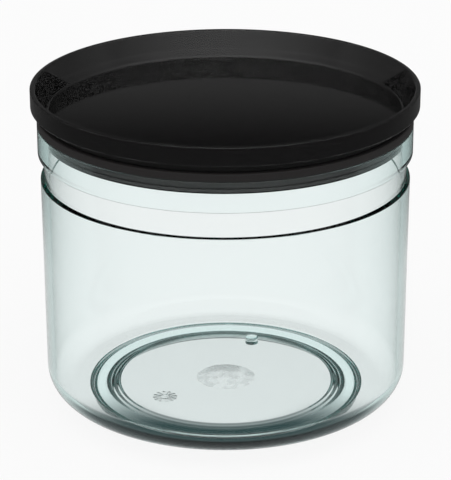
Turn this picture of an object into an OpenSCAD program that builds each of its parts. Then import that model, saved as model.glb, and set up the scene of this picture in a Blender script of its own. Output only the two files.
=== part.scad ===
// Round clear plastic storage jar on a low foot ring, with a dark push-in lid and a flanged seal.
// Millimetres, +Z up, origin on the surface that the jar stands on, at the jar's axis.

/* [Jar body] */
// Outside diameter of the body at the shoulder
body_d = 120; // [90:0.5:160]
// How much smaller the outside diameter is at the base, for mould draft
body_draft = 0.5; // [0:0.1:2]
// Wall of the body
wall = 2.5; // [1.8:0.1:4]
// Height of the shoulder, where the neck starts
shoulder_h = 79.6; // [40:0.1:160]
// Rounding of the shoulder's outer edge
shoulder_r = 0.8; // [0.3:0.1:1.1]
// Outside rounding of the bottom corner
corner_r = 9; // [6:0.5:14]

/* [Jar base] */
// Height of the foot ring, from the table to the jar's bottom
foot_h = 4.6; // [3.5:0.1:8]
// How far the foot ring's contact face stays inside the body's outside at the base
foot_back = 15.4; // [15:0.1:24]
// Width of the foot ring's contact face
foot_w = 5; // [2:0.1:6]
// How much wider the foot ring's root is on its outside
foot_out = 0.8; // [0.2:0.1:1]
// How much wider the foot ring's root is on its inside
foot_in = 3.8; // [0.5:0.1:5]
// Height of the panel inside the foot ring over the table
panel_h = 4; // [2:0.1:4.5]
// Thickness of the floor over the jar's bottom
floor_t = 2.5; // [1.6:0.1:4]
// Diameter of the dimple round the moulding gate
gate_d = 19.6; // [10:0.2:26]
// Depth of the gate dimple
gate_depth = 0.3; // [0.2:0.1:1.2]
// Diameter of the moulding date dial
dial_d = 8; // [5:0.5:10]
// How far the date dial's middle stays inside the panel's edge
dial_in = 10.1; // [6:0.1:11]
// Angle of the date dial round the axis, from the left to the front
dial_angle = 38; // [0:1:80]
// Depth of the date dial's marks
dial_depth = 0.4; // [0.2:0.1:0.8]
// Number of marks round the date dial
dial_marks = 12; // [6:1:12]
// Length of each mark
mark_l = 2.6; // [1.5:0.1:3]
// Width of each mark
mark_w = 0.7; // [0.4:0.1:1]
// Diameter of the half-round lug inside the foot ring
lug_d = 4.4; // [3:0.1:6]
// Height of the lug
lug_h = 3; // [1:0.1:3.5]
// Angle of the lug round the axis, to the right of the back
lug_angle = 15; // [0:1:40]

/* [Jar neck] */
// Height of the groove between the shoulder and the neck ring
groove_h = 8; // [4:0.5:14]
// Depth of the groove under the shoulder's outside
groove_depth = 1.2; // [0.4:0.1:1.4]
// How far the neck ring's diameter exceeds the body's
ring_over = 1.4; // [0:0.1:3]
// Height of the neck ring
ring_h = 9.9; // [7:0.1:20]

/* [Lid] */
// How far the rim's diameter exceeds the neck ring's
rim_over = 3.8; // [1:0.1:8]
// Height of the rim
rim_h = 5.9; // [4:0.1:12]
// Thickness of the rim at its top edge
rim_t = 1.6; // [1:0.1:2]
// Rounding of the rim's lower edge
rim_r_low = 0.6; // [0.2:0.1:0.8]
// Height of the shadow gap between the rim and the seal's flange
gap_h = 3; // [1.5:0.1:4]
// Depth of the shadow gap behind the neck ring's outside
gap_depth = 1.4; // [0.6:0.1:2]
// How far the wall of the shadow gap leans out, with the dish's sloping wall
gap_lean = 1.1; // [0:0.1:1.4]
// Wall of the dish at the bottom of the shadow gap
dish_t = 1.8; // [1.2:0.1:2.4]
// Height of the dish's floor over the seal's web
dish_low = 2; // [1.9:0.1:2.4]
// Thickness of the lid's floor
lid_floor_t = 1.3; // [1:0.1:1.8]
// Depth of the plug below the jar's top edge
plug_h = 4.6; // [3.5:0.1:6]
// Wall of the plug
plug_t = 1.5; // [1.2:0.1:2.4]
// Height of the bead on the plug's lower edge, which holds the seal
bead_h = 0.5; // [0.4:0.1:0.8]
// How far the bead stays behind the seal's lips
bead_back = 0.4; // [0.2:0.1:0.7]

/* [Seal] */
// Thickness of the seal's flange, outside the lid's step
flange_t = 2.7; // [2:0.1:3]
// Width of the seal's flange outside the lid's step
flange_w = 2.3; // [1.6:0.1:2.6]
// Thickness of the seal's web between the jar's top edge and the lid's step
web_t = 0.9; // [0.6:0.1:1.2]
// Thickness of the seal's skirt with its lips
skirt_t = 1.2; // [0.9:0.1:1.6]
// Height of the lower lip
low_lip_h = 1.1; // [0.6:0.1:1.4]
// Height of the gap between the two lips
lip_gap = 0.5; // [0.3:0.1:0.8]
// Depth of the gap between the two lips
lip_gap_depth = 0.6; // [0.3:0.1:0.7]

/* [Fits] */
// Gap between the seal's lips and the jar's mouth
lip_fit = 0.3; // [0.2:0.05:0.4]

/* [Hidden] */
$fn = 128;
jar_color = [0.86, 0.93, 0.91, 0.35];
lid_color = [0.13, 0.13, 0.13];
seal_color = [0.25, 0.25, 0.25];
// Steps in each drawn arc
arc_steps = 8;
// Small overlap that makes cuts and joins clean
eps = 0.05;

// Jar radii
body_r = body_d / 2;
base_r = body_r - body_draft / 2;
mouth_r = body_r - wall;
groove_r = body_r - groove_depth;
ring_r = body_r + ring_over / 2;
corner_cr = base_r - corner_r;
foot_r = base_r - foot_back;
root_r = foot_r + foot_out;
foot_ir = foot_r - foot_w;
panel_r = foot_ir - foot_in;

// Jar heights
corner_z = foot_h + corner_r;
floor_z = foot_h + floor_t;
ring_z = shoulder_h + groove_h;
jar_h = ring_z + ring_h;

// Inside rounding of the bottom corner, for an even wall
inner_corner_r = corner_r - wall;
inner_corner_z = floor_z + inner_corner_r;

// Lid radii and heights
rim_r = ring_r + rim_over / 2;
gap_r = ring_r - gap_depth;
dish_low_r = gap_r - dish_t;
dish_top_r = rim_r - rim_t;
lip_r = mouth_r - lip_fit;
plug_r = lip_r - skirt_t;
bead_r = lip_r - bead_back;
plug_z = jar_h - plug_h;
bead_z = plug_z + bead_h;
web_z = jar_h + web_t;
step_r = ring_r - flange_w;
lid_floor_z = web_z + dish_low;
hollow_z = lid_floor_z - lid_floor_t;
collar_z = jar_h + flange_t;
rim_z = collar_z + gap_h;
rim_top = rim_z + rim_h;

// Heights of the gap between the seal's lips
lip_z = bead_z + low_lip_h;
lip_top_z = lip_z + lip_gap;

// Points of an arc about (cr, cz), from angle a0 to angle a1
function arc(cr, cz, r, a0, a1) =
    [for (i = [0:arc_steps]) [cr + r * cos(a0 + (a1 - a0) * i / arc_steps),
                              cz + r * sin(a0 + (a1 - a0) * i / arc_steps)]];

// Outline of the jar, from the axis under the panel round to the axis on the floor
function jar_outline() = concat(
    [[0, panel_h], [panel_r, panel_h], [foot_ir, 0], [foot_r, 0], [root_r, foot_h]],
    arc(corner_cr, corner_z, corner_r, -90, 0),
    arc(body_r - shoulder_r, shoulder_h - shoulder_r, shoulder_r, 0, 90),
    [[groove_r, shoulder_h], [groove_r, ring_z], [ring_r, ring_z], [ring_r, jar_h]],
    [[mouth_r, jar_h]],
    arc(corner_cr, inner_corner_z, inner_corner_r, 0, -90),
    [[0, floor_z]]);

// Outline of the lid: hollow plug with its bead, step for the seal, shadow gap, rim and dish
function lid_outline() = concat(
    [[0, hollow_z], [plug_r - plug_t, hollow_z], [plug_r - plug_t, plug_z]],
    [[bead_r, plug_z], [bead_r, bead_z], [plug_r, bead_z], [plug_r, web_z]],
    [[step_r, web_z], [step_r, collar_z], [gap_r, collar_z], [gap_r + gap_lean, rim_z]],
    arc(rim_r - rim_r_low, rim_z + rim_r_low, rim_r_low, -90, 0),
    [[rim_r, rim_top], [dish_top_r, rim_top], [dish_low_r, lid_floor_z], [0, lid_floor_z]]);

// Outline of the seal: skirt with two lips inside the mouth, web and flange on the jar's top edge
function seal_outline() =
    [[plug_r, bead_z], [lip_r, bead_z], [lip_r, lip_z], [lip_r - lip_gap_depth, lip_z],
     [lip_r - lip_gap_depth, lip_top_z], [lip_r, lip_top_z], [lip_r, jar_h], [ring_r, jar_h],
     [ring_r, collar_z], [step_r, collar_z], [step_r, web_z], [plug_r, web_z]];

module dial_cut() {
    rotate([0, 0, dial_angle])
        translate([dial_in - panel_r, 0, panel_h - eps])
            for (i = [0:dial_marks - 1])
                rotate([0, 0, i * 360 / dial_marks])
                    translate([dial_d / 2 - mark_l, -mark_w / 2, 0])
                        cube([mark_l, mark_w, dial_depth + eps]);
}

module gate_cut() {
    dome_r = (gate_d * gate_d / 4 + gate_depth * gate_depth) / (2 * gate_depth);
    translate([0, 0, panel_h + gate_depth - dome_r])
        sphere(r = dome_r);
}

module lug() {
    rotate([0, 0, -lug_angle])
        translate([0, panel_r, panel_h - lug_h])
            cylinder(d = lug_d, h = lug_h + eps);
}

module jar() {
    color(jar_color)
        difference() {
            union() {
                rotate_extrude() polygon(jar_outline());
                lug();
            }
            gate_cut();
            dial_cut();
        }
}

module lid() {
    color(lid_color)
        rotate_extrude() polygon(lid_outline());
}

module seal_ring() {
    color(seal_color)
        rotate_extrude() polygon(seal_outline());
}

jar();
lid();
seal_ring();
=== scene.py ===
# A round clear storage jar on a low foot ring, with a smoke grey push-in lid and a rubber seal.
import math

import bmesh
import bpy
from mathutils import Matrix, Vector


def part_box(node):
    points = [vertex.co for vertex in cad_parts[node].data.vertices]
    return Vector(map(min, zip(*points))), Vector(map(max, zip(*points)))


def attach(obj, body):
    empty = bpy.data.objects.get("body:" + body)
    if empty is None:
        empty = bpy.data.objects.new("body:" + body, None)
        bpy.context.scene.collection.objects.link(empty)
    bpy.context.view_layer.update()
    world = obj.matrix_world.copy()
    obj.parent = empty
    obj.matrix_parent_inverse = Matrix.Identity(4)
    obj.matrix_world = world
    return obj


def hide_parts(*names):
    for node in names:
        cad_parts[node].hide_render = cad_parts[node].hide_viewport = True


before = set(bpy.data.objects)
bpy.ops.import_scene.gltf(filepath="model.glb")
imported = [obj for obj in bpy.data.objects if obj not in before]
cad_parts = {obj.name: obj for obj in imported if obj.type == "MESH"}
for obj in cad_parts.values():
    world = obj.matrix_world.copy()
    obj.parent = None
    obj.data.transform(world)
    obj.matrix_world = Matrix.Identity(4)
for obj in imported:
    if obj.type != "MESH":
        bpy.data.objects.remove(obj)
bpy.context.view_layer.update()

# Sizes are in millimetres, and MM turns them to the scene's metres
MM = 0.001

# Outer sizes from the frame
ring_r, _, jar_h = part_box("jar")[1] / MM
rim_r, _, rim_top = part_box("lid")[1] / MM
plug_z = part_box("lid")[0].z / MM
flange_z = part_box("seal_ring")[1].z / MM
lip_low_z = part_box("seal_ring")[0].z / MM

# Jar body and neck
wall = 2.5
draft = 0.25
ring_over = 0.7
ring_h = 9.9
groove_h = 8.0
groove_depth = 1.2
body_r = ring_r - ring_over
base_r = body_r - draft
mouth_r = body_r - wall
groove_r = body_r - groove_depth
ring_z = jar_h - ring_h

# The shoulder's ledge lies a little under its height in the frame and slopes down to its outer edge
ledge_low = 0.3
ledge_fall = 0.5
ledge_z = ring_z - groove_h - ledge_low

# Jar base
corner_r = 9.0
foot_h = 4.6
foot_back = 15.4
foot_w = 5.0
foot_out = 0.8
foot_in = 3.8
panel_z = 4.0
corner_z = foot_h + corner_r
corner_cr = base_r - corner_r
inner_corner_r = corner_r - wall
floor_z = corner_z - inner_corner_r
foot_r = base_r - foot_back
foot_in_r = foot_r - foot_w
root_r = foot_r + foot_out
panel_r = foot_in_r - foot_in

# Steps on the foot ring's inner slope, each with a steep riser and a flatter tread
foot_steps = 2
step_w = 1.45
step_h = 1.2
riser_w = 0.65
riser_h = 0.9

# Moulding marks under the floor: the gate's dimple, the date dial and the lug
gate_r = 9.8
gate_depth = 0.3
dial_r = 4.0
dial_in = 10.1
dial_place = panel_r - dial_in
dial_angle = math.radians(38)
dial_marks = 12
dial_depth = 0.25
mark_l = 2.6
mark_w = 0.7
lug_r = 2.2
lug_h = 3.0
lug_angle = math.radians(15)

# Lid and seal, which share the seat between them
web_t = 0.9
flange_w = 2.3
skirt_t = 1.2
lip_fit = 0.3
lip_h = 1.1
lip_gap = 0.5
lip_gap_depth = 0.6
bead_back = 0.4
plug_t = 1.5
dish_t = 1.8
dish_low = 2.0
lid_floor_t = 1.3
gap_h = 3.0
gap_depth = 1.4
gap_lean = 0.1
rim_t = 1.6
web_z = jar_h + web_t
step_r = ring_r - flange_w
lip_r = mouth_r - lip_fit
plug_r = lip_r - skirt_t
bead_r = lip_r - bead_back
lid_floor_z = web_z + dish_low
hollow_z = lid_floor_z - lid_floor_t
gap_r = ring_r - gap_depth
rim_z = flange_z + gap_h

# Hairline between the seal and what it touches, so that their faces never share a place
hairline = 0.02

# Roundings of edges, from crisp mould lines to the foot ring's soft ones
crisp = 0.1
bead_round = 0.15
small = 0.2
ledge_round = 0.25
soft = 0.3
broad = 0.4
flange_round = 0.5
root_round = 0.8
dish_round = 0.8
foot_in_round = 1.4
foot_round = 1.5

# Steps round a turned piece, in each rounded edge, in each drawn arc and round the lug
turn_steps = 256
round_steps = 5
arc_steps = 20
lug_steps = 48

# Points closer than this are one, and edges that turn by more than this stay sharp
weld = 0.0001
sharp_angle = math.radians(35)

# Bounces that light needs to find its way through the clear plastic
light_bounces = 32

# Where the painted contact shadow sets in and is full: by radius inside the foot, by depth, and by radius
# outside
shadow_in = (25, 39)
shadow_front = (-5, -35)
shadow_out = (66, 60)

# Depths where the painted dim front of the table starts and ends, and radii between which its mirror
# image is painted dimmer
dim_y = -62
bright_y = -22
fade_near = 150
fade_far = 260

# Sockets of a Mix node for colours: its two colours and its result
MIX_A = 6
MIX_B = 7
MIXED = 2


def linear(hex_colour):
    """Linear colour, with alpha, of an sRGB hex value."""
    channels = [int(hex_colour[i:i + 2], 16) / 255 for i in (1, 3, 5)]
    return (*[c / 12.92 if c <= 0.04045 else ((c + 0.055) / 1.055) ** 2.4 for c in channels], 1)


def add_node(tree, kind, inputs=None, **settings):
    """Adds a node. Each input takes another node's first output, a socket or a constant."""
    node = tree.nodes.new(kind)
    for name, value in settings.items():
        setattr(node, name, value)
    for name, value in (inputs or {}).items():
        if isinstance(value, bpy.types.Node):
            value = value.outputs[0]
        if isinstance(value, bpy.types.NodeSocket):
            tree.links.new(value, node.inputs[name])
        else:
            node.inputs[name].default_value = value
    return node


def show(name, bm):
    """Puts a finished bmesh into the scene as a smooth shaded object."""
    for face in bm.faces:
        face.smooth = True
    mesh = bpy.data.meshes.new(name)
    bm.to_mesh(mesh)
    bm.free()
    piece = bpy.data.objects.new(name, mesh)
    bpy.context.scene.collection.objects.link(piece)
    return piece


def weigh_normals(piece):
    """Keeps flats and walls true beside their small roundings, and sharp edges sharp."""
    piece.data.set_sharp_from_angle(angle=sharp_angle)
    piece.modifiers.new("weighted normals", "WEIGHTED_NORMAL").keep_sharp = True


def turned(name, corners):
    """Turns an outline of (radius, height, rounding) corners round the axis."""
    bm = bmesh.new()
    verts = [bm.verts.new((r * MM, 0, z * MM)) for r, z, _ in corners]
    for start, end in zip(verts, verts[1:]):
        bm.edges.new((start, end))
    # An outline that starts off the axis is a ring's, and closes on itself
    if corners[0][0] > 0:
        bm.edges.new((verts[-1], verts[0]))
    for vert, (_, _, rounding) in zip(verts, corners):
        if rounding > 0:
            bmesh.ops.bevel(bm, geom=[vert], offset=rounding * MM, offset_type="OFFSET",
                            segments=round_steps, profile=0.5, affect="VERTICES", material=-1)
    bmesh.ops.spin(bm, geom=bm.verts[:] + bm.edges[:], cent=(0, 0, 0), axis=(0, 0, 1),
                   angle=math.tau, steps=turn_steps, use_merge=True)
    bmesh.ops.remove_doubles(bm, verts=bm.verts, dist=weld * MM)
    bmesh.ops.recalc_face_normals(bm, faces=bm.faces)
    return show(name, bm)


def cut(piece, tool, operation):
    """Joins a tool to a piece, or cuts it out, and deletes the tool."""
    boolean = piece.modifiers.new("tool", "BOOLEAN")
    boolean.object = tool
    boolean.operation = operation
    boolean.solver = "EXACT"
    depsgraph = bpy.context.evaluated_depsgraph_get()
    mesh = bpy.data.meshes.new_from_object(piece.evaluated_get(depsgraph))
    piece.modifiers.clear()
    piece.data = mesh
    bpy.data.objects.remove(tool)


def corner_arc(radius, start, end):
    """Points of the bottom corner's arc of this radius, between two angles."""
    angles = [start + (end - start) * i / arc_steps for i in range(arc_steps + 1)]
    return [(corner_cr + radius * math.cos(a), corner_z + radius * math.sin(a), 0) for a in angles]


def gate_arc():
    """Dome of the dimple round the moulding gate, from the axis out."""
    dome_r = (gate_r ** 2 + gate_depth ** 2) / (2 * gate_depth)
    half = math.asin(gate_r / dome_r)
    angles = [half * i / arc_steps for i in range(arc_steps + 1)]
    low = panel_z + gate_depth - dome_r
    return [(dome_r * math.sin(a), low + dome_r * math.cos(a), 0) for a in angles]


def foot_slope():
    """Inner slope of the foot ring, stepped from the panel's edge down."""
    corners = [(panel_r, panel_z, soft)]
    for i in range(foot_steps):
        r = panel_r + i * step_w
        z = panel_z - i * step_h
        corners += [(r + riser_w, z - riser_h, small), (r + step_w, z - step_h, small)]
    return corners


def make_jar():
    """The clear jar: foot ring, rounded corner, wall, shoulder and neck, with marks under the floor."""
    corners = gate_arc()
    corners += foot_slope()
    corners += [(foot_in_r, 0, foot_in_round), (foot_r, 0, foot_round), (root_r, foot_h, root_round)]
    corners += corner_arc(corner_r, -math.pi / 2, 0)
    corners += [(body_r, ledge_z - ledge_fall, ledge_round), (groove_r, ledge_z, crisp)]
    corners += [(groove_r, ring_z, soft), (ring_r, ring_z, broad)]
    corners += [(ring_r, jar_h, soft), (mouth_r, jar_h, soft)]
    corners += corner_arc(inner_corner_r, 0, -math.pi / 2)
    corners += [(0, floor_z, 0)]
    jar = turned("jar_shell", corners)
    cut(jar, make_lug(), "UNION")
    cut(jar, make_dial(), "DIFFERENCE")
    weigh_normals(jar)
    return jar


def make_lug():
    """Half-round lug on the inside of the foot ring."""
    bm = bmesh.new()
    bmesh.ops.create_cone(bm, cap_ends=True, segments=lug_steps, radius1=lug_r * MM,
                          radius2=lug_r * MM, depth=lug_h * MM)
    place = Vector((0, panel_r, panel_z - lug_h / 2 + hairline)) * MM
    bmesh.ops.translate(bm, verts=bm.verts, vec=place)
    bmesh.ops.transform(bm, verts=bm.verts, matrix=Matrix.Rotation(-lug_angle, 4, "Z"))
    return show("lug", bm)


def make_dial():
    """Ring of radial marks, sunk into the underside like a moulder's date dial."""
    bm = bmesh.new()
    middle = (dial_r - mark_l / 2) * MM
    for i in range(dial_marks):
        turn = Matrix.Rotation(math.tau * i / dial_marks, 4, "Z")
        bar = bmesh.ops.create_cube(bm, size=MM)["verts"]
        bmesh.ops.scale(bm, verts=bar, vec=(mark_l, mark_w, dial_depth * 2))
        bmesh.ops.translate(bm, verts=bar, vec=(middle, 0, 0))
        bmesh.ops.transform(bm, verts=bar, matrix=turn)
    bmesh.ops.translate(bm, verts=bm.verts, vec=Vector((-dial_place, 0, panel_z)) * MM)
    bmesh.ops.transform(bm, verts=bm.verts, matrix=Matrix.Rotation(dial_angle, 4, "Z"))
    return show("dial", bm)


def make_lid():
    """The smoke grey lid: hollow plug, seat for the seal, shadow gap, rim and sunk dish."""
    plug_in_r = plug_r - plug_t
    corners = [(0, hollow_z, 0), (plug_in_r, hollow_z, soft), (plug_in_r, plug_z, broad)]
    corners += [(bead_r, plug_z, bead_round), (bead_r, lip_low_z, crisp), (plug_r, lip_low_z, 0)]
    corners += [(plug_r, web_z, 0), (step_r, web_z, 0), (step_r, flange_z, 0)]
    corners += [(gap_r, flange_z, small), (gap_r + gap_lean, rim_z, soft), (rim_r, rim_z, small)]
    corners += [(rim_r, rim_top, small), (rim_r - rim_t, rim_top, soft)]
    corners += [(gap_r - dish_t, lid_floor_z, dish_round), (0, lid_floor_z, 0)]
    lid = turned("lid_shell", corners)
    weigh_normals(lid)
    return lid


def make_seal():
    """The rubber seal: skirt with two lips, web and flange."""
    low = lip_low_z + hairline
    gap_low = lip_low_z + lip_h
    gap_high = gap_low + lip_gap
    gap_in_r = lip_r - lip_gap_depth
    under = jar_h + hairline
    top = flange_z - hairline
    web_top = web_z - hairline
    inner = plug_r + hairline
    seat = step_r + hairline
    corners = [(inner, low, 0), (lip_r, low, small), (lip_r, gap_low, small)]
    corners += [(gap_in_r, gap_low, crisp), (gap_in_r, gap_high, crisp)]
    corners += [(lip_r, gap_high, small), (lip_r, under, crisp)]
    corners += [(ring_r, under, soft), (ring_r, top, flange_round)]
    corners += [(seat, top, 0), (seat, web_top, 0), (inner, web_top, 0)]
    seal = turned("seal_band", corners)
    weigh_normals(seal)
    return seal


def new_material(name):
    """An empty material with its node tree and output node."""
    material = bpy.data.materials.new(name)
    material.use_nodes = True
    tree = material.node_tree
    tree.nodes.clear()
    return material, tree, add_node(tree, "ShaderNodeOutputMaterial")


def frosted_spots(tree, place):
    """A node that is 1 on the spark eroded spots under the floor: the gate's dimple and the date dial."""
    spots = []
    panel = Vector((0, 0, panel_z))
    dial = Matrix.Rotation(dial_angle, 3, "Z") @ Vector((-dial_place, 0, 0))
    for middle, reach in ((panel, gate_r), (panel + dial, dial_r)):
        gap = add_node(tree, "ShaderNodeVectorMath", {0: place, 1: middle * MM}, operation="DISTANCE")
        spots.append(add_node(tree, "ShaderNodeMath", {0: gap.outputs["Value"], 1: reach * MM},
                              operation="LESS_THAN"))
    spot = add_node(tree, "ShaderNodeMath", dict(enumerate(spots)), operation="MAXIMUM")
    height = add_node(tree, "ShaderNodeSeparateXYZ", {"Vector": place}).outputs["Z"]
    mid_floor = (panel_z + floor_z) / 2 * MM
    under = add_node(tree, "ShaderNodeMath", {0: height, 1: mid_floor}, operation="LESS_THAN")
    return add_node(tree, "ShaderNodeMath", {0: spot, 1: under}, operation="MULTIPLY")


def moulded_san():
    """Clear SAN, moulded and polished: sharp clear walls that turn teal only along long paths."""
    material, tree, output = new_material("clear_moulded_san")
    place = add_node(tree, "ShaderNodeTexCoord").outputs["Object"]
    # Faint flow waves
    wave_length = 12 * MM
    wave = add_node(tree, "ShaderNodeTexNoise",
                    {"Vector": place, "Scale": 1 / wave_length, "Detail": 1.0})
    bump = add_node(tree, "ShaderNodeBump", {"Height": wave, "Strength": 0.02, "Distance": 0.3 * MM})
    # The frosted spots are uneven, in patches
    patch_width = 4 * MM
    patch = add_node(tree, "ShaderNodeTexNoise",
                     {"Vector": place, "Scale": 1 / patch_width, "Detail": 2.0})
    frost = add_node(tree, "ShaderNodeMapRange",
                     {"Value": patch, "From Min": 0.3, "From Max": 0.7, "To Min": 0.1, "To Max": 0.4})
    rough = add_node(tree, "ShaderNodeMath", {0: frost, 1: frosted_spots(tree, place)},
                     operation="MULTIPLY")
    # The grey specular tint keeps mirror images of the foot ring faint in the walls
    skin = add_node(tree, "ShaderNodeBsdfPrincipled",
                    {"Base Color": linear("#FEFCFC"), "Roughness": rough, "Normal": bump, "IOR": 1.57,
                     "Transmission Weight": 1.0, "Specular Tint": linear("#A8A8A8")})
    inside = add_node(tree, "ShaderNodeVolumeAbsorption", {"Color": linear("#00F4EE"), "Density": 22.0})
    tree.links.new(skin.outputs["BSDF"], output.inputs["Surface"])
    tree.links.new(inside.outputs["Volume"], output.inputs["Volume"])
    return material


def smoke_san():
    """Smoke grey SAN, moulded with a gloss: nearly black, with a little light through its thin places."""
    material, tree, output = new_material("smoke_moulded_san")
    place = add_node(tree, "ShaderNodeTexCoord").outputs["Object"]
    # Fine haze from handling
    haze_width = 4 * MM
    haze = add_node(tree, "ShaderNodeTexNoise",
                    {"Vector": place, "Scale": 1 / haze_width, "Detail": 4.0})
    rough = add_node(tree, "ShaderNodeMapRange", {"Value": haze, "To Min": 0.05, "To Max": 0.08})
    skin = add_node(tree, "ShaderNodeBsdfPrincipled",
                    {"Base Color": linear("#FFFFFF"), "Roughness": rough, "IOR": 1.52,
                     "Transmission Weight": 0.996})
    inside = add_node(tree, "ShaderNodeVolumeAbsorption",
                      {"Color": linear("#000000"), "Density": 5500.0})
    tree.links.new(skin.outputs["BSDF"], output.inputs["Surface"])
    tree.links.new(inside.outputs["Volume"], output.inputs["Volume"])
    return material


def seal_rubber():
    """Dark grey moulded silicone rubber: matt, with a soft sheen and a fine moulded grain."""
    material, tree, output = new_material("grey_silicone_rubber")
    place = add_node(tree, "ShaderNodeTexCoord").outputs["Object"]
    # Mould grain, drawn coarser than it is so that it shows
    grain_width = 0.6 * MM
    grain = add_node(tree, "ShaderNodeTexNoise",
                     {"Vector": place, "Scale": 1 / grain_width, "Detail": 3.0})
    bump = add_node(tree, "ShaderNodeBump", {"Height": grain, "Strength": 0.1, "Distance": 0.05 * MM})
    # The skirt inside the mouth is paler than the flange on the jar's top edge: the flange's darker tone
    # is painted shade under the rim, as both are one rubber
    skirt_and_shaded_flange_tones = []
    for dark, pale in (("#5C5A5A", "#666464"), ("#2E2C2C", "#363434")):
        tone = add_node(tree, "ShaderNodeMix",
                        {"Factor": grain, MIX_A: linear(dark), MIX_B: linear(pale)}, data_type="RGBA")
        skirt_and_shaded_flange_tones.append(tone.outputs[MIXED])
    skirt, flange = skirt_and_shaded_flange_tones
    height = add_node(tree, "ShaderNodeSeparateXYZ", {"Vector": place}).outputs["Z"]
    mouth_z = (jar_h + hairline / 2) * MM
    upper = add_node(tree, "ShaderNodeMath", {0: height, 1: mouth_z}, operation="GREATER_THAN")
    # Above the jar's mouth the tone is the flange's painted shade
    tone = add_node(tree, "ShaderNodeMix", {"Factor": upper, MIX_A: skirt, MIX_B: flange},
                    data_type="RGBA")
    skin = add_node(tree, "ShaderNodeBsdfPrincipled",
                    {"Base Color": tone.outputs[MIXED], "Normal": bump, "Roughness": 0.5, "IOR": 1.41,
                     "Specular IOR Level": 0.25})
    tree.links.new(skin.outputs["BSDF"], output.inputs["Surface"])
    return material


def dress(piece, material, body, node):
    """Gives a piece its finish and its body, and hides the CAD part of the node that it stands for."""
    piece.data.materials.clear()
    piece.data.materials.append(material)
    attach(piece, body)
    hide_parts(node)


def table_colour(tree, path, mirrored, radius, depth):
    """Colour of the table: white to the eye, with the jar's contact shadow painted on where it is seen
    through its base.
    """
    # The painted shadow starts inside the foot, lies on the front side and ends under the overhang
    shadow = 1.0
    for value, (start, end) in ((radius, shadow_in), (depth, shadow_front), (radius, shadow_out)):
        part = add_node(tree, "ShaderNodeMapRange",
                        {"Value": value, "From Min": start * MM, "From Max": end * MM},
                        interpolation_type="SMOOTHSTEP")
        shadow = add_node(tree, "ShaderNodeMath", {0: shadow, 1: part}, operation="MULTIPLY")
    # Light mirrored inside the plastic picks up its teal
    pale = add_node(tree, "ShaderNodeMix",
                    {"Factor": mirrored, MIX_A: linear("#FFFFFF"), MIX_B: linear("#EAF6F4")},
                    data_type="RGBA")
    # The painted shadow is a dark teal, since light that gets under the foot has passed the plastic
    tint = add_node(tree, "ShaderNodeMix",
                    {"Factor": shadow, MIX_A: pale.outputs[MIXED], MIX_B: linear("#2A4445")},
                    data_type="RGBA")
    outside = add_node(tree, "ShaderNodeMath",
                       {0: path.outputs["Is Camera Ray"], 1: path.outputs["Is Reflection Ray"]},
                       operation="MAXIMUM")
    seen = add_node(tree, "ShaderNodeMix",
                    {"Factor": outside, MIX_A: tint.outputs[MIXED], MIX_B: linear("#FFFFFF")},
                    data_type="RGBA")
    return seen.outputs[MIXED]


def table_level(tree, path, mirrored, radius, depth):
    """Brightness of the table: full to the eye, and less to light that was mirrored on the way, where its
    front and its far parts are painted dim.
    """
    # Painted shade: to light mirrored inside the plastic, the front of the table is painted dim
    painted_dim_front = add_node(tree, "ShaderNodeMapRange",
                      {"Value": depth, "From Min": dim_y * MM, "From Max": bright_y * MM, "To Min": 0.1},
                      interpolation_type="SMOOTHSTEP")
    dim = add_node(tree, "ShaderNodeMix", {"Factor": mirrored, "A": 1.0, "B": painted_dim_front}, data_type="FLOAT")
    # Light fades faster with each bounce
    bounce_fade = 0.8
    bounces = path.outputs["Glossy Depth"]
    square = add_node(tree, "ShaderNodeMath", {0: bounces, 1: bounces}, operation="MULTIPLY")
    fade = add_node(tree, "ShaderNodeMath", {0: bounce_fade, 1: square}, operation="POWER")
    # Little light spills from the table up on matt surfaces
    spill = add_node(tree, "ShaderNodeMapRange",
                     {"Value": path.outputs["Is Diffuse Ray"], "To Min": 1.0, "To Max": 0.3})
    # Painted shade: in a mirror image, the table far from the jar is painted dim
    far = add_node(tree, "ShaderNodeMapRange",
                   {"Value": radius, "From Min": fade_near * MM, "From Max": fade_far * MM,
                    "To Min": 1.0, "To Max": 0.1})
    sheen = add_node(tree, "ShaderNodeMix",
                     {"Factor": path.outputs["Is Reflection Ray"], "A": 1.0, "B": far},
                     data_type="FLOAT")
    # Light mirrored in the base or the back wall has crossed the plastic four times or more
    crossings = 4
    crossed = add_node(tree, "ShaderNodeMath",
                       {0: path.outputs["Transmission Depth"], 1: crossings - 0.5},
                       operation="GREATER_THAN")
    deep = add_node(tree, "ShaderNodeMath", {0: crossed, 1: mirrored}, operation="MULTIPLY")
    weak = add_node(tree, "ShaderNodeMapRange", {"Value": deep, "To Min": 1.0, "To Max": 0.5})
    level = dim
    for part in (fade, spill, sheen, weak):
        level = add_node(tree, "ShaderNodeMath", {0: level, 1: part}, operation="MULTIPLY")
    return level


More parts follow.
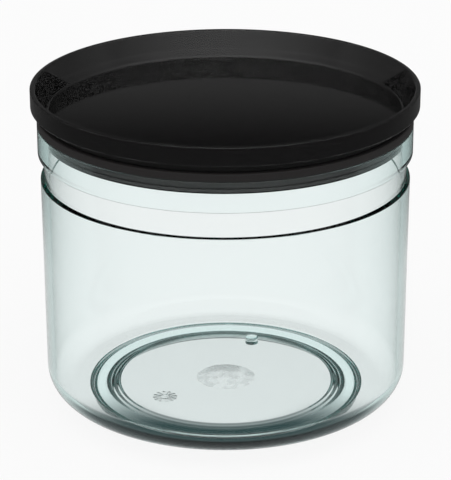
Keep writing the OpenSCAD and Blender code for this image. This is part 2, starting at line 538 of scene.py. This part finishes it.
def white_table():
    """White table top: glows like a lit sheet, with a painted contact shadow seen through the jar, and a
    matt share that takes the object's soft shadow.
    """
    matt_share = 0.1
    material, tree, output = new_material("white_table")
    place = add_node(tree, "ShaderNodeTexCoord").outputs["Object"]
    radius = add_node(tree, "ShaderNodeVectorMath", {0: place}, operation="LENGTH").outputs["Value"]
    depth = add_node(tree, "ShaderNodeSeparateXYZ", {"Vector": place}).outputs["Y"]
    path = add_node(tree, "ShaderNodeLightPath")
    # Light that was mirrored inside the plastic, not only on the outside of a piece
    inner = add_node(tree, "ShaderNodeMath",
                     {0: path.outputs["Glossy Depth"], 1: path.outputs["Is Reflection Ray"]},
                     operation="SUBTRACT")
    mirrored = add_node(tree, "ShaderNodeMath", {0: inner, 1: 0.5}, operation="GREATER_THAN")
    facts = (tree, path, mirrored, radius, depth)
    glow = add_node(tree, "ShaderNodeEmission",
                    {"Color": table_colour(*facts), "Strength": table_level(*facts)})
    matt = add_node(tree, "ShaderNodeBsdfDiffuse", {"Color": linear("#F4F4F4")})
    share = add_node(tree, "ShaderNodeMath", {0: path.outputs["Is Camera Ray"], 1: matt_share},
                     operation="MULTIPLY")
    both = add_node(tree, "ShaderNodeMixShader", {0: share, 1: glow, 2: matt})
    tree.links.new(both.outputs["Shader"], output.inputs["Surface"])
    return material


def make_floor():
    """A plain table top, wide enough to fill the view."""
    half_width = 3000 * MM
    bm = bmesh.new()
    bmesh.ops.create_grid(bm, x_segments=1, y_segments=1, size=half_width)
    floor = show("floor", bm)
    floor.data.materials.append(white_table())


def make_world():
    """A white horizon and a large soft light overhead in front, with a dim back."""
    world = bpy.data.worlds.new("studio")
    world.use_nodes = True
    tree = world.node_tree
    tree.nodes.clear()
    place = add_node(tree, "ShaderNodeTexCoord").outputs["Generated"]
    axes = add_node(tree, "ShaderNodeSeparateXYZ", {"Vector": place})
    height = axes.outputs["Z"]
    front = add_node(tree, "ShaderNodeMapRange",
                     {"Value": axes.outputs["Y"], "From Min": -0.95, "From Max": 0.95, "To Min": 2.2,
                      "To Max": 0.0})
    overhead = add_node(tree, "ShaderNodeMath", {0: front, 1: height}, operation="MULTIPLY")
    # A faint glow over the horizon, which the dish mirrors at its back
    glow = add_node(tree, "ShaderNodeMapRange",
                    {"Value": height, "From Min": 0.298, "From Max": 0.33, "To Min": 0.145,
                     "To Max": 0.0}, interpolation_type="SMOOTHSTEP")
    upper = add_node(tree, "ShaderNodeMath", {0: overhead, 1: glow}, operation="ADD")
    # The white horizon ends above, and neither mirrored light nor matt surfaces see it
    path = add_node(tree, "ShaderNodeLightPath")
    mirrored = add_node(tree, "ShaderNodeMath", {0: path.outputs["Glossy Depth"], 1: 0.5},
                        operation="GREATER_THAN")
    dark = add_node(tree, "ShaderNodeMapRange", {"Value": height, "From Min": 0.1, "From Max": 0.32},
                    interpolation_type="SMOOTHSTEP")
    for part in (mirrored, path.outputs["Is Diffuse Ray"]):
        dark = add_node(tree, "ShaderNodeMath", {0: dark, 1: part}, operation="MAXIMUM")
    level = add_node(tree, "ShaderNodeMix", {"Factor": dark, "A": 1.0, "B": upper}, data_type="FLOAT")
    strength = add_node(tree, "ShaderNodeMath", {0: path.outputs["Is Camera Ray"], 1: level},
                        operation="MAXIMUM")
    sky = add_node(tree, "ShaderNodeBackground", {"Color": linear("#FFFFFF"), "Strength": strength})
    output = add_node(tree, "ShaderNodeOutputWorld")
    tree.links.new(sky.outputs["Background"], output.inputs["Surface"])
    bpy.context.scene.world = world


def make_camera():
    """Camera at the photograph's place: 0.74 m away, 22 degrees above the horizon."""
    distance = 738.8 * MM
    elevation = math.radians(21.64)
    roll = math.radians(-0.135)
    aim = Vector((0, 0, 55.12 * MM))
    camera = bpy.data.objects.new("camera", bpy.data.cameras.new("camera"))
    bpy.context.scene.collection.objects.link(camera)
    place = aim + Vector((0, -math.cos(elevation), math.sin(elevation))) * distance
    tilt = Matrix.Rotation(math.pi / 2 - elevation, 4, "X")
    camera.matrix_world = Matrix.Translation(place) @ tilt @ Matrix.Rotation(roll, 4, "Z")
    camera.data.sensor_width = 24.0
    camera.data.lens = 112.03
    camera.data.clip_start = 0.01
    bpy.context.scene.camera = camera


make_camera()
dress(make_jar(), moulded_san(), "jar", "jar")
dress(make_lid(), smoke_san(), "lid", "lid")
dress(make_seal(), seal_rubber(), "lid", "seal_ring")
make_floor()
make_world()

scene = bpy.context.scene
scene.view_settings.view_transform = "Standard"
scene.cycles.max_bounces = light_bounces
scene.cycles.transmission_bounces = light_bounces
scene.cycles.glossy_bounces = light_bounces
